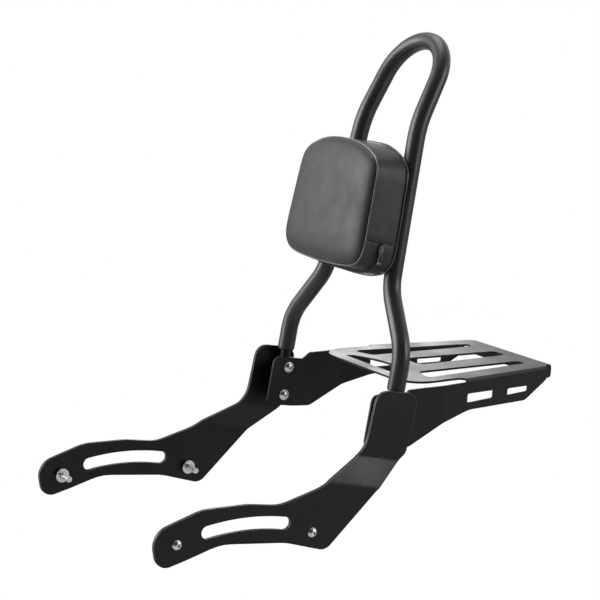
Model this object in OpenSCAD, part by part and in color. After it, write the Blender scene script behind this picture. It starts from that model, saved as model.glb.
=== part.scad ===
// Sissy bar with a padded backrest and a luggage rack for the rear fender of a motorcycle.
// Millimetres. X runs to the rear of the vehicle, Z up. The origin lies on the centre plane,
// midway between the two fender bolts of each side.

/* [Fender mount] */
// Distance between the front and rear fender bolt
bolt_spacing = 204; // [190:1:215]
// Fall of the bolt line towards the rear, degrees
bolt_slope = 3; // [0:0.5:5]
// Nominal bolt diameter
bolt_d = 8; // [6:0.5:10]
// Length of stud that stands inboard of the spacer
stud_reach = 22; // [16:1:30]
// Length of the relief groove at the start of the thread
relief_len = 1.5; // [1:0.1:2.5]
// Length of the spacer collar behind the plate
spacer_len = 6; // [3:0.5:12]
// Outer diameter of the spacer collar
spacer_d = 20; // [17:0.5:24]
// Diametral clearance of a bolt in its hole
bolt_clearance = 0.5; // [0.3:0.1:1]

/* [Side plates] */
// Thickness of the laser-cut side plates
plate_t = 5; // [4:0.5:6]
// Outboard step of the lower plate from the upper tab
joggle = 15; // [10:0.5:20]
// Height of the leaning strip between the two bends
joggle_height = 38; // [32:1:44]
// Slope of the bend lines, degrees
bend_slope = 11.9; // [9:0.1:14]
// Height above the origin where the lower bend line crosses the tab's lean line
lower_bend_height = 84; // [80:1:88]
// Radius of the bends on the plate's centre surface
plate_bend_r = 12; // [9:0.5:14]
// Length of the curved slot between the centres of its ends
slot_len = 116; // [90:1:124]
// Width of the curved slot
slot_w = 17.6; // [12:0.2:19]
// Radius of the slot's centre line
slot_arc_r = 330; // [280:10:420]
// Width of the upper tab
tab_w = 70; // [64:1:74]
// Distance of the tab's rear edge behind the leg axis
tab_rear = 24.5; // [20:0.5:28]
// Height of the tab's top edge above the rack deck
tab_rise = -0.5; // [-3:0.5:5]
// Corner radius of the tab
tab_r = 19; // [12:1:24]

/* [Hoop] */
// Outer diameter of the tube
tube_d = 25; // [22:0.5:27]
// Wall of the tube
tube_wall = 2; // [1.5:0.1:3]
// Distance between the lower legs, centre to centre
leg_spacing = 282; // [274:1:290]
// Distance of the leg axis behind the origin at deck height
leg_x = 248; // [244:1:252]
// Rearward lean of the lower legs, degrees
lower_lean = 8.6; // [6:0.2:11]
// Height of the tube's lower end above the deck
leg_end_rise = 1; // [0:0.5:4]
// Height above the deck where the legs turn inwards
splay_low = 52.5; // [48:0.5:58]
// Height above the deck where the legs turn upright again
splay_high = 128.6; // [122:0.2:134]
// Distance between the upper legs where they start
shoulder_spacing = 163.5; // [156:0.5:170]
// Distance of the shoulder behind the leg axis
shoulder_setback = 24.9; // [20:0.1:30]
// Rearward lean of the upper legs, degrees
upper_lean = 10.6; // [8:0.2:13]
// Angle by which each upper leg closes in, degrees
converge = 4; // [2:0.1:5]
// Height above the deck of the rearward bend
top_bend_height = 353.4; // [344:0.2:362]
// Rearward lean of the top bow, degrees
bow_lean = 27.1; // [20:0.1:32]
// Straight length between the rearward bend and the bow
bow_straight = 68.5; // [60:0.5:76]
// Bend radius at the splay
splay_r = 70; // [50:1:80]
// Bend radius below the bow
top_bend_r = 150; // [100:1:170]

/* [Tube feet] */
// Width of the foot bar along the vehicle
foot_w = 20; // [16:0.5:24]
// Length of the foot bar with its neck
foot_len = 76; // [72:1:80]
// Diameter of the round neck between the foot bar and the tube
neck_d = 15; // [12:0.5:20]
// Length of the neck
neck_len = 18.5; // [14:0.5:20]
// Length of the plug inside the tube
plug_len = 20; // [12:1:30]
// Diameter of the arm screws
arm_screw_d = 8; // [6:0.5:10]
// Depth of the tapped holes in the foot
arm_screw_depth = 17; // [12:0.5:22]
// Distance between the arm screws
arm_screw_spacing = 42; // [36:1:46]
// Height of the upper arm screw below the deck
arm_screw_drop = 25; // [22:0.5:28]

/* [Luggage rack] */
// Sheet thickness
sheet_t = 3; // [2:0.5:4]
// Height of the deck's top face above the origin
deck_z = 167; // [160:0.5:174]
// Front edge of the deck
deck_front = 289; // [284:0.5:294]
// Outer face of the rear flange
deck_rear = 567.5; // [560:0.5:575]
// Place of the side relief notches
notch_x = 385; // [380:0.5:390]
// Half width over the side flanges at the notches
half_w = 122.6; // [121:0.1:124]
// Taper of each side towards the rear, degrees
taper = 7.57; // [7:0.05:8]
// Inside radius of the sheet bends
sheet_bend_r = 1.5; // [1:0.5:3]
// Half width of the front part of the deck at the notches
nose_half_w = 111.5; // [106:0.5:114]
// Extra half width of the front part at the front edge
nose_flare = 5; // [0:0.5:8]
// Front corner radius of the deck
nose_r = 40; // [30:1:46]
// Height of the side flanges
flange_h = 45.5; // [42:0.5:50]
// Height of the rear flange
rear_flange_h = 22.5; // [16:0.5:28]
// Half length of the rear flange
rear_flange_half = 90; // [84:0.5:92]
// Rear end of the side flanges
flange_rear = 551; // [546:0.5:555]
// Gap between the deck's top face and the arm's top edge
arm_drop = 5; // [4.5:0.5:8]
// Extra drop of the arm where it passes the tube
arm_dip = 9; // [6:0.5:12]
// Distance of the arm's front edge from the leg axis, forward negative
arm_front = -27; // [-30:0.5:-21]

/* [Backrest pad] */
// Width of the pad
pad_w = 188; // [176:1:200]
// Height of the pad at its middle
pad_h = 180; // [168:1:190]
// Height of the pad's lower edge along the legs above the shoulder
pad_low = 13; // [8:0.5:18]
// Thickness of the pad between its two rims
pad_t = 57; // [48:0.5:64]
// Crown of the pad's front face
pad_crown = 8; // [4:0.5:12]
// Corner radius of the pad
pad_r = 28; // [18:1:32]
// Rise of the pad's top edge at its middle
pad_top_crown = 12; // [6:0.5:16]
// Diameter of the piping cord
piping_d = 3.5; // [3:0.5:6]
// Thickness of the backboard
board_t = 9; // [6:0.5:12]
// Width of the pad bars
bar_w = 25; // [20:0.5:32]
// Thickness of the pad bars
bar_t = 4; // [3:0.5:5]
// Height of the lower pad bar's middle along the legs
bar_low = 52; // [45:1:60]
// Height of the upper pad bar's middle along the legs
bar_high = 142; // [132:1:150]
// Distance between the pad screws of one bar
pad_screw_spacing = 76; // [60:1:84]
// Diameter of the pad screws
pad_screw_d = 6; // [5:0.5:8]

/* [Hidden] */
$fn = 72;

// Sides: the left of the vehicle is at negative Y
left = -1;
right = 1;
front = -1;
rear = 1;
upper = 1;
lower = -1;

black_steel = [0.09, 0.09, 0.095];
zinc = [0.78, 0.78, 0.8];
leather = [0.13, 0.13, 0.14];
wood = [0.55, 0.42, 0.28];

// Faces across the vehicle, from the tube outwards and inwards
leg_y = leg_spacing / 2;
tab_in_y = leg_y + tube_d / 2;
arm_out_y = leg_y - tube_d / 2;
plate_out_y = tab_in_y + plate_t + joggle;
plate_in_y = plate_out_y - plate_t;
arm_bend_x = notch_x - (arm_out_y - half_w) / tan(taper);
bend_out_r = sheet_bend_r + sheet_t;
eps = 0.01;

// Vector helpers
function unit(v) = v / norm(v);
function turn_of(u, v) = 180 - acos(max(-1, min(1, u * v)));

// Points of a closed outline whose corners [x, y, r] are rounded by arcs
function wrap(i, n) = (i + n) % n;
function corner_arc(a, p, b, r) =
    let (q = [p[0], p[1]], u = unit([a[0], a[1]] - q), v = unit([b[0], b[1]] - q), turn = turn_of(u, v))
    r <= 0 || turn < 0.5 ? [q] :
    let (steps = max(3, ceil(turn / 10)), reach = r * tan(turn / 2), centre = q + unit(u + v) * r / cos(turn / 2), s = q + u * reach,
        e1 = unit(s - centre), e2 = -u)
    [for (k = [0:steps]) centre + r * (e1 * cos(turn * k / steps) + e2 * sin(turn * k / steps))];
function rounded(c) =
    [for (i = [0:len(c) - 1]) each corner_arc(c[wrap(i - 1, len(c))], c[i], c[wrap(i + 1, len(c))], c[i][2])];

// Turns the local axes onto three perpendicular unit vectors
module oriented(e1, e2, e3) {
    multmatrix([[e1[0], e2[0], e3[0], 0], [e1[1], e2[1], e3[1], 0], [e1[2], e2[2], e3[2], 0]]) children();
}

// Round bar from a to b
module rod(a, b, r) {
    d = b - a;
    translate(a) rotate([0, acos(d[2] / norm(d)), atan2(d[1], d[0])]) cylinder(h = norm(d), r = r);
}

// Arc of round bar that starts at centre + bend * e1 and runs along e2. A bent length necks in a
// little and reaches half a millimetre into the straight ones.
neck = 0.01;
lap = 0.5;
seat = 0.2;
module arc_rod(centre, e1, e2, bend, angle, r) {
    more = lap / bend * 180 / PI;
    translate(centre) oriented(e1, e2, cross(e1, e2)) rotate([0, 0, -more])
        rotate_extrude(angle = angle + 2 * more) translate([bend, 0]) circle(r = r - neck);
}

function bend_reach(a, p, b, bend) = bend * tan(turn_of(unit(a - p), unit(b - p)) / 2);
module elbow(a, p, b, bend, r) {
    u = unit(a - p);
    v = unit(b - p);
    turn = turn_of(u, v);
    centre = p + unit(u + v) * bend / cos(turn / 2);
    arc_rod(centre, unit(p + u * bend * tan(turn / 2) - centre), -u, bend, turn, r);
}

// Round bar along a polyline with one bend radius at each inner corner
module bent_rod(p, bends, r) {
    n = len(p);
    reach = [for (i = [0:n - 1]) i == 0 || i == n - 1 ? 0 : bend_reach(p[i - 1], p[i], p[i + 1], bends[i - 1])];
    for (i = [0:n - 2]) {
        d = unit(p[i + 1] - p[i]);
        rod(p[i] + d * reach[i], p[i + 1] - d * reach[i + 1], r);
    }
    for (i = [1:n - 2]) elbow(p[i - 1], p[i], p[i + 1], bends[i - 1], r);
}

// Outline of a flat strip of thickness t, folded at the inner points of its centre line
function normal(v) = [-v[1], v[0]] / norm(v);
function strip_side(p, bend, t, side) = [for (i = [0:len(p) - 1])
    let (n0 = normal(p[max(i, 1)] - p[max(i, 1) - 1]), last = min(i, len(p) - 2),
        n1 = normal(p[last + 1] - p[last]), m = (n0 + n1) / (1 + n0 * n1),
        inner = cross(n0, n1) * side > 0 ? -1 : 1, q = p[i] + side * t / 2 * m)
    [q[0], q[1], i == 0 || i == len(p) - 1 ? 0 : bend + inner * t / 2]];
function folded_strip(p, bend, t) = let (back = strip_side(p, bend, t, -1))
    rounded(concat(strip_side(p, bend, t, 1), [for (i = [len(back) - 1:-1:0]) back[i]]));

// Extrudes a profile drawn in X and Z along Y, from y0 to y1
module along_y(y0, y1) {
    translate([0, y1, 0]) rotate([90, 0, 0]) linear_extrude(height = y1 - y0) children();
}

// Mirrors a piece made for the right side to the side asked for
module on_side(side) {
    mirror([0, side == left ? 1 : 0, 0]) children();
}

// Frame of the lower leg: local Z along the tube, local X to the rear, at deck height
module leg_frame() {
    translate([leg_x, 0, deck_z]) rotate([0, lower_lean, 0]) children();
}
function from_leg(x, z) = [leg_x + x * cos(lower_lean) + z * sin(lower_lean),
    deck_z - x * sin(lower_lean) + z * cos(lower_lean)];

// Frame of the upper legs: local Z along them from the shoulder, local X to the rear
shoulder = [leg_x + shoulder_setback, 0, deck_z + splay_high];
module pad_frame() {
    translate(shoulder) rotate([0, upper_lean, 0]) children();
}

// Fender mount

function bolt_x(end) = end * bolt_spacing / 2 * cos(bolt_slope);
function bolt_z(end) = -end * bolt_spacing / 2 * sin(bolt_slope);

head_d = bolt_d * 1.75;
head_h = bolt_d * 0.55;
socket_d = bolt_d * 0.72;

// Round-headed screw along local Z, head above zero, shank below
module button_screw(d, shank) {
    head = d * 0.55;
    head_r = d * 0.875;
    difference() {
        union() {
            intersection() {
                cylinder(h = head, r = head_r);
                translate([0, 0, head - head_r * 1.15]) sphere(r = head_r * 1.15);
            }
            translate([0, 0, -shank]) cylinder(h = shank + eps, r = d / 2);
        }
        translate([0, 0, head * 0.4]) cylinder(h = head, r = d * 0.36, $fn = 6);
    }
}

module ring(outer, hole, h) {
    difference() {
        cylinder(h = h, d = outer);
        translate([0, 0, -1]) cylinder(h = h + 2, d = hole);
    }
}

// The groove parts the stud's free end from the length that sits in the plate and the spacer
module fender_bolt(side, end) {
    color(zinc) on_side(side) translate([bolt_x(end), plate_out_y, bolt_z(end)]) rotate([-90, 0, 0])
        difference() {
            button_screw(bolt_d, plate_t + spacer_len + stud_reach);
            translate([0, 0, -plate_t - spacer_len - relief_len]) ring(bolt_d + 2, bolt_d - 1.5, relief_len);
        }
}

module spacer(side, end) {
    color(zinc) on_side(side) translate([bolt_x(end), plate_in_y - spacer_len, bolt_z(end)])
        rotate([-90, 0, 0]) ring(spacer_d, bolt_d + bolt_clearance, spacer_len);
}

// Side plates

plate_outline = rounded(concat([
    [-139, 24, 26], [-66, 46.5, 70], [0, 45.5, 120], [50, 38, 60], [116, 55, 80], [157, 82, 14], [183, 86.5, 10]],
    [concat(from_leg(tab_rear - tab_w, tab_rise), [tab_r]), concat(from_leg(tab_rear, tab_rise), [tab_r]),
        concat(from_leg(tab_rear - 1, -66), [50])],
    [[207, 47, 120], [160, 0, 80], [124, -33.5, 18], [60, -14, 90], [-38, -3, 80], [-88, -17, 30],
        [-129, -27, 18]]));

// Points of a curved slot with round ends about the middle of its arc
function arc_slot(len, w, arc_r, steps = 8) =
    let (half = asin(len / 2 / arc_r), c = [0, -arc_r])
    concat(
        [for (k = [-steps:steps]) c + (arc_r + w / 2) * [sin(half * k / steps), cos(half * k / steps)]],
        [for (k = [1:steps * 2 - 1]) c + arc_r * [sin(half), cos(half)]
            + w / 2 * [sin(half + 180 * k / steps / 2), cos(half + 180 * k / steps / 2)]],
        [for (k = [steps:-1:-steps]) c + (arc_r - w / 2) * [sin(half * k / steps), cos(half * k / steps)]],
        [for (k = [1:steps * 2 - 1]) c + arc_r * [sin(-half), cos(half)]
            + w / 2 * [sin(180 - half + 180 * k / steps / 2), cos(180 - half + 180 * k / steps / 2)]]);

// The plate's section across its bend lines: y outwards, h along their normal
module plate_section() {
    low = lower_bend_height;
    high = lower_bend_height + joggle_height;
    y_low = plate_out_y - plate_t / 2;
    y_high = tab_in_y + plate_t / 2;
    polygon(folded_strip([[y_low, low - 160], [y_low, low], [y_high, high], [y_high, high + 140]],
        plate_bend_r, plate_t));
}

module side_plate(side) {
    color(black_steel) on_side(side) difference() {
        intersection() {
            along_y(tab_in_y - 1, plate_out_y + 1) polygon(plate_outline);
            rotate([0, bend_slope, 0]) translate([400, 0, 0]) rotate([90, 0, -90])
                linear_extrude(height = 700) mirror([1, 0]) plate_section();
        }
        along_y(plate_in_y - 1, plate_out_y + 1) translate([0, 19.5]) rotate(-1.5)
            polygon(arc_slot(slot_len, slot_w, slot_arc_r));
        for (end = [front, rear]) translate([bolt_x(end), plate_in_y - 1, bolt_z(end)]) rotate([-90, 0, 0])
            cylinder(h = plate_t + 2, d = bolt_d + bolt_clearance);
    }
}

// Hoop

leg_end = [leg_x + leg_end_rise * sin(lower_lean), leg_y, deck_z + leg_end_rise * cos(lower_lean)];
splay_a = [leg_x + splay_low * tan(lower_lean), leg_y, deck_z + splay_low];
splay_b = [shoulder[0], shoulder_spacing / 2, shoulder[2]];
upper_len = (top_bend_height - splay_high) / cos(upper_lean);
bow_bend = splay_b + upper_len * [sin(upper_lean), -tan(converge), cos(upper_lean)];
bow_dir = [sin(bow_lean) * cos(converge), -sin(converge), cos(bow_lean) * cos(converge)];
bow_start = bow_bend + bow_straight * bow_dir;
bow_r = bow_start[1] / cos(converge);
bow_up = [sin(bow_lean), 0, cos(bow_lean)];
bow_centre = bow_start + bow_r * (-sin(converge) * bow_up - [0, cos(converge), 0]);
leg_path = [leg_end, splay_a, splay_b, bow_bend, bow_start];

module hoop_rod(r, extra) {
    start = leg_end - extra * unit(splay_a - leg_end);
    for (side = [left, right]) on_side(side)
        bent_rod([start, splay_a, splay_b, bow_bend, bow_start], [splay_r, splay_r, top_bend_r], r);
    arc_rod(bow_centre, unit(bow_start - bow_centre), bow_dir, bow_r, 180 - 2 * converge, r);
}

module sissy_bar_hoop() {
    color(black_steel) difference() {
        hoop_rod(tube_d / 2, 0);
        hoop_rod(tube_d / 2 - tube_wall, 1);
    }
}

// Feet and the screws that hold the rack's arms to them

function arm_screw_z(level) = level == upper ? -arm_screw_drop : -arm_screw_drop - arm_screw_spacing;

module tube_foot(side) {
    bore_r = tube_d / 2 - tube_wall;
    color(black_steel) on_side(side) leg_frame() difference() {
        union() {
            translate([-foot_w / 2, arm_out_y, leg_end_rise - foot_len])
                cube([foot_w, tube_d, foot_len - neck_len]);
            translate([0, leg_y, leg_end_rise]) rotate_extrude() polygon([[0, -neck_len - 1],
                [neck_d / 2, -neck_len - 1], [neck_d / 2, -2], [bore_r + 1, -2], [bore_r + 1, 0], [bore_r, 0],
                [bore_r, plug_len - 1], [bore_r - 1, plug_len], [0, plug_len]]);
        }
        for (level = [upper, lower]) translate([0, arm_out_y - 1, arm_screw_z(level)]) rotate([-90, 0, 0])
            cylinder(h = arm_screw_depth + 1, d = arm_screw_d);
    }
}

arm_washer_h = 1.6;
module arm_screw(side, level) {
    color(zinc) on_side(side) leg_frame()
        translate([0, arm_out_y - sheet_t - arm_washer_h, arm_screw_z(level)]) rotate([90, 0, 0])
            button_screw(arm_screw_d, arm_washer_h + sheet_t + arm_screw_depth - 1);
}

module arm_washer(side, level) {
    color(zinc) on_side(side) leg_frame()
        translate([0, arm_out_y - sheet_t, arm_screw_z(level)]) rotate([90, 0, 0])
            ring(arm_screw_d * 2, arm_screw_d + bolt_clearance, arm_washer_h);
}

// Luggage rack

function half_at(x) = half_w - (x - notch_x) * tan(taper);

// Deck seen from above, without its bends
fold_in = bend_out_r - seat;
deck_half = [
    [deck_front, nose_half_w + nose_flare, nose_r],
    [notch_x, nose_half_w, 8],
    [notch_x, half_w - fold_in / cos(taper), 0],
    [flange_rear, half_at(flange_rear) - fold_in / cos(taper), 0],
    [deck_rear - fold_in - 4, rear_flange_half, 0],
    [deck_rear - fold_in, rear_flange_half, 0]];
deck_outline = rounded(concat([for (p = deck_half) [p[0], -p[1], p[2]]],
    [for (i = [len(deck_half) - 1:-1:0]) deck_half[i]]));

// Three strap slots and the curved opening behind the front edge
centre_slot = rounded([[377, 22, 9], [377, -22, 9], [542, -14, 9], [542, 14, 9]]);
side_slot = rounded([[336, 94, 8], [347, 57.5, 10], [533, 54, 9], [533, 71, 8]]);
mouth_front = 308;
mouth_half = 71;
mouth_depth = 32;
mouth_arc_r = 122;
mouth = concat([[mouth_front, mouth_half], [mouth_front, -mouth_half]],
    [for (a = [-34:4:34]) [mouth_front + mouth_depth - mouth_arc_r + mouth_arc_r * cos(a), mouth_arc_r * sin(a)]]);

// Side flange and arm seen from the side; z is measured from the deck's top face
arm_low = -arm_screw_drop - arm_screw_spacing - 16;
flange_outline = rounded([
    [flange_rear, -fold_in, 0], [flange_rear, -19, 8], [507, -flange_h, 14], [392, -flange_h, 60],
    [342, -58.5, 60], [284, -87, 20],
    concat(from_leg(18, arm_low) - [0, deck_z], [10]), concat(from_leg(arm_front, arm_low) - [0, deck_z], [8]),
    concat(from_leg(arm_front, -arm_drop - arm_dip + 4) - [0, deck_z], [11]),
    [270, -arm_drop - arm_dip, 10], [282, -arm_drop, 10], [notch_x, -arm_drop, 0], [notch_x, -fold_in, 0]]);
front_window = rounded([[388, -21.7, 3], [388, -35.2, 3], [440, -34, 3], [440, -22.5, 3]]);
rear_window = rounded([[469, -23.6, 3], [469, -33.8, 3], [511.5, -32.6, 3], [511.5, -24.3, 3]]);

// Sheet of the side seen from above: along the taper, then straight past the tube
module side_sheet_plan() {
    turn_x = arm_bend_x - sheet_t / 2 * tan(taper / 2);
    mid_y = arm_out_y - sheet_t / 2;
    polygon(folded_strip([[600, mid_y - (600 - turn_x) * tan(taper)], [turn_x, mid_y], [150, mid_y]],
        20, sheet_t));
}

module side_flange(side) {
    on_side(side) difference() {
        intersection() {
            translate([0, 0, deck_z]) along_y(half_at(flange_rear) - 20, arm_out_y + 1)
                polygon(flange_outline);
            translate([0, 0, deck_z - 150]) linear_extrude(height = 200) side_sheet_plan();
        }
        translate([0, 0, deck_z]) along_y(0, arm_out_y + 2) {
            polygon(front_window);
            polygon(rear_window);
        }
        leg_frame() for (level = [upper, lower])
            translate([0, arm_out_y - sheet_t - 1, arm_screw_z(level)]) rotate([-90, 0, 0])
                cylinder(h = sheet_t + 2, d = arm_screw_d + bolt_clearance);
    }
}

// Quarter bend between the deck and a flange, run along local X and tucked into both
module edge_bend(len) {
    tuck = bend_out_r + 1;
    mid = -sheet_t / 2;
    rotate([90, 0, 90]) linear_extrude(height = len)
        polygon(folded_strip([[mid, -tuck], [mid, mid], [-tuck, mid]], sheet_bend_r + sheet_t / 2,
            sheet_t - 2 * neck));
}

module luggage_rack() {
    color(black_steel) {
        translate([0, 0, deck_z - sheet_t]) linear_extrude(height = sheet_t) difference() {
            polygon(deck_outline);
            polygon(centre_slot);
            polygon(side_slot);
            mirror([0, 1]) polygon(side_slot);
            polygon(mouth);
        }
        for (side = [left, right]) {
            side_flange(side);
            on_side(side) translate([notch_x, half_w, deck_z]) rotate([0, 0, -taper]) translate([1, 0, 0])
                edge_bend((flange_rear - notch_x) / cos(taper) - 1.5);
        }
        translate([deck_rear, rear_flange_half - 0.5, deck_z]) rotate([0, 0, -90])
            edge_bend(rear_flange_half * 2 - 1);
        translate([deck_rear - sheet_t, 0, deck_z]) rotate([90, 0, 90]) linear_extrude(height = sheet_t)
            polygon(rounded([[-rear_flange_half, -fold_in, 0], [-rear_flange_half, -rear_flange_h, 8],
                [rear_flange_half, -rear_flange_h, 8], [rear_flange_half, -fold_in, 0]]));
    }
}

// Backrest pad, drawn in the frame of the upper legs

pad_back = -tube_d / 2;
pad_front = pad_back - pad_t;
pad_top = pad_low + pad_h;

// Outline of the pad in y and z, inset by d
function pad_outline(d) = rounded([
    [pad_w / 2 - d, pad_low + d, pad_r - d], [pad_w / 2 - 5 - d, pad_top - pad_top_crown - d, pad_r - d],
    [0, pad_top - d, 300], [-pad_w / 2 + 5 + d, pad_top - pad_top_crown - d, pad_r - d],
    [-pad_w / 2 + d, pad_low + d, pad_r - d]]);

// A prism of the pad's outline between two local x places
module pad_prism(d, x0, x1) {
    translate([x0, 0, 0]) rotate([90, 0, 90]) linear_extrude(height = x1 - x0) polygon(pad_outline(d));
}

board_inset = piping_d + 4;
module pad_backboard() {
    color(wood) pad_frame() difference() {
        pad_prism(board_inset, pad_back - board_t, pad_back);
        for (y = [-1, 1], z = [bar_low, bar_high])
            translate([pad_back - board_t - 1, y * pad_screw_spacing / 2, z]) rotate([0, 90, 0])
                cylinder(h = board_t + 2, d = pad_screw_d);
    }
}

crown_r = 800;
module pad_cushion() {
    color(leather) pad_frame() difference() {
        intersection() {
            pad_prism(piping_d / 2 + 0.3, pad_front - pad_crown, pad_back - piping_d);
            translate([pad_front - pad_crown + crown_r, 0, pad_low + pad_h / 2]) sphere(r = crown_r, $fn = 180);
        }
        pad_prism(board_inset, pad_back - board_t, pad_back + 1);
    }
}

// Piping cord round the pad at one local x place
module piping(x) {
    c = [[pad_w / 2, pad_low], [pad_w / 2 - 5, pad_top - pad_top_crown], [0, pad_top],
        [-pad_w / 2 + 5, pad_top - pad_top_crown], [-pad_w / 2, pad_low]];
    bend = [pad_r, pad_r, 300, pad_r, pad_r];
    n = len(c);
    p = [for (q = c) [x, q[0], q[1]]];
    reach = [for (i = [0:n - 1]) bend_reach(p[wrap(i - 1, n)], p[i], p[wrap(i + 1, n)], bend[i])];
    for (i = [0:n - 1]) {
        j = wrap(i + 1, n);
        d = unit(p[j] - p[i]);
        rod(p[i] + d * reach[i], p[j] - d * reach[j], piping_d / 2);
        elbow(p[wrap(i - 1, n)], p[i], p[j], bend[i], piping_d / 2);
    }
}
module front_piping() {
    color(leather) pad_frame() piping(pad_front);
}
module rear_piping() {
    color(leather) pad_frame() piping(pad_back - piping_d / 2);
}

// Zipper chain round the lower side of the pad
zip_d = 4;
zip_x = pad_back - pad_t / 2;
zip_top = pad_low + 48;
zip_out = zip_d / 2 - piping_d / 2;
module zipper() {
    y = pad_w / 2 + zip_out;
    z = pad_low - zip_out;
    color("dimgray") pad_frame() bent_rod(
        [[zip_x, -y, zip_top], [zip_x, -y, z], [zip_x, y, z], [zip_x, y, zip_top]],
        [pad_r + zip_out, pad_r + zip_out], zip_d / 2);
}

puller_t = 1.6;
module zipper_puller() {
    color(zinc) pad_frame() translate([zip_x, -pad_w / 2 - zip_out - zip_d / 2 - puller_t, zip_top - 26])
        rotate([-90, 0, 0]) linear_extrude(height = puller_t) difference() {
            polygon(rounded([[-3, -9, 2.5], [3, -9, 2.5], [4, 9, 2.5], [-4, 9, 2.5]]));
            translate([0, 5]) circle(r = 1.8);
        }
}

// Flat bars between the upper legs, cut to the tubes
module leg_rods(r) {
    for (side = [left, right]) on_side(side) rod(splay_b, bow_bend, r);
}
function leg_half(z) = shoulder_spacing / 2 - z * tan(converge);
module pad_bar(z) {
    color(black_steel) difference() {
        pad_frame() difference() {
            translate([pad_back, -leg_half(z), z - bar_w / 2]) cube([bar_t, leg_half(z) * 2, bar_w]);
            for (y = [-1, 1]) translate([pad_back - 1, y * pad_screw_spacing / 2, z]) rotate([0, 90, 0])
                cylinder(h = bar_t + 2, d = pad_screw_d + bolt_clearance);
        }
        leg_rods(tube_d / 2);
    }
}

pad_washer_h = 1.6;
module pad_screw(side, level) {
    z = level == upper ? bar_high : bar_low;
    color(zinc) pad_frame() translate([pad_back + bar_t + pad_washer_h, side * pad_screw_spacing / 2, z])
        rotate([0, 90, 0]) button_screw(pad_screw_d, pad_washer_h + bar_t + board_t - 1);
}
module pad_washer(side, level) {
    z = level == upper ? bar_high : bar_low;
    color(zinc) pad_frame() translate([pad_back + bar_t, side * pad_screw_spacing / 2, z])
        rotate([0, 90, 0]) ring(pad_screw_d * 2, pad_screw_d + bolt_clearance, pad_washer_h);
}

side_plate(left);  // left_side_plate
side_plate(right);  // right_side_plate
sissy_bar_hoop();
tube_foot(left);  // left_tube_foot
tube_foot(right);  // right_tube_foot
luggage_rack();
fender_bolt(left, front);  // left_front_fender_bolt
fender_bolt(left, rear);  // left_rear_fender_bolt
fender_bolt(right, front);  // right_front_fender_bolt
fender_bolt(right, rear);  // right_rear_fender_bolt
spacer(left, front);  // left_front_spacer
spacer(left, rear);  // left_rear_spacer
spacer(right, front);  // right_front_spacer
spacer(right, rear);  // right_rear_spacer
arm_screw(left, upper);  // left_upper_arm_screw
arm_screw(left, lower);  // left_lower_arm_screw
arm_screw(right, upper);  // right_upper_arm_screw
arm_screw(right, lower);  // right_lower_arm_screw
arm_washer(left, upper);  // left_upper_arm_washer
arm_washer(left, lower);  // left_lower_arm_washer
arm_washer(right, upper);  // right_upper_arm_washer
arm_washer(right, lower);  // right_lower_arm_washer
pad_bar(bar_high);  // upper_pad_bar
pad_bar(bar_low);  // lower_pad_bar
pad_backboard();
pad_cushion();
front_piping();
rear_piping();
zipper();
zipper_puller();
pad_screw(left, upper);  // upper_left_pad_screw
pad_screw(right, upper);  // upper_right_pad_screw
pad_screw(left, lower);  // lower_left_pad_screw
pad_screw(right, lower);  // lower_right_pad_screw
pad_washer(left, upper);  // upper_left_pad_washer
pad_washer(right, upper);  // upper_right_pad_washer
pad_washer(left, lower);  // lower_left_pad_washer
pad_washer(right, lower);  // lower_right_pad_washer
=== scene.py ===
"""Dresses the sissy bar: powder-coated plates and rack, gloss tube, sewn backrest pad, studio."""
import math

import bmesh
import bpy
from mathutils import Matrix, Vector, noise


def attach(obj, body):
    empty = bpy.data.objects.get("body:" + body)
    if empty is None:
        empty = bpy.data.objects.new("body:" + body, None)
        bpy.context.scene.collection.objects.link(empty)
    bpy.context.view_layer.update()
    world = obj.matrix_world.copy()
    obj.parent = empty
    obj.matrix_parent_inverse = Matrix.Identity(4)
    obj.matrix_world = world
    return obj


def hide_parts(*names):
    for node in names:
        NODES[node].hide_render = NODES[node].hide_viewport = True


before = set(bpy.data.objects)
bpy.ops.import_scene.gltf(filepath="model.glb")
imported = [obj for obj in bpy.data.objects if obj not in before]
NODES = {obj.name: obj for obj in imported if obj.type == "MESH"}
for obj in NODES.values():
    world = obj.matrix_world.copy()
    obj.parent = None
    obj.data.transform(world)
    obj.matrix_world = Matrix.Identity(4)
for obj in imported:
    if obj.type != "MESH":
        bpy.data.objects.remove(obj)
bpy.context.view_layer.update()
MM = 0.001

# Camera and studio

CAMERA_AT = (-1.1671, -2.0704, 0.7336)
CAMERA_RIGHT = Vector((0.84254, -0.53658, 0.04721))
CAMERA_UP = Vector((0.05996, 0.18053, 0.98174))
CAMERA_BACK = Vector((-0.53530, -0.82431, 0.18428))
CAMERA_LENS = 108.13


def place_camera():
    data = bpy.data.cameras.new("camera")
    data.lens = CAMERA_LENS
    data.sensor_width = 36.0
    data.clip_start, data.clip_end = 0.05, 200
    camera = bpy.data.objects.new("camera", data)
    turn = Matrix((CAMERA_RIGHT, CAMERA_UP, CAMERA_BACK)).transposed().to_4x4()
    camera.matrix_world = Matrix.Translation(CAMERA_AT) @ turn
    bpy.context.scene.collection.objects.link(camera)
    bpy.context.scene.camera = camera


# Each softbox: where it stands, what it faces, its width and height, and its power in watts
SOFTBOXES = {
    "front_softbox": ((-2.1, 1.5, 1.2), (0.25, 0, 0.4), (2.2, 2.2), 108),
    "strip_softbox": ((1.84, -1.9, 1.15), (0.2, -0.17, 0.06), (1.3, 1.3), 23),
    "tube_strip": ((1.45, -2.2, 0.75), (0.3, 0, 0.4), (0.12, 1.6), 2.5),
    "deck_glow": ((1.8, 2.35, 0.77), (0.3, 0, 0.167), (0.8, 0.4), 9),
    "overhead": ((0.5, 0.6, 2.4), (0.3, 0, 0.3), (1.4, 1.4), 18),
}
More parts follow.
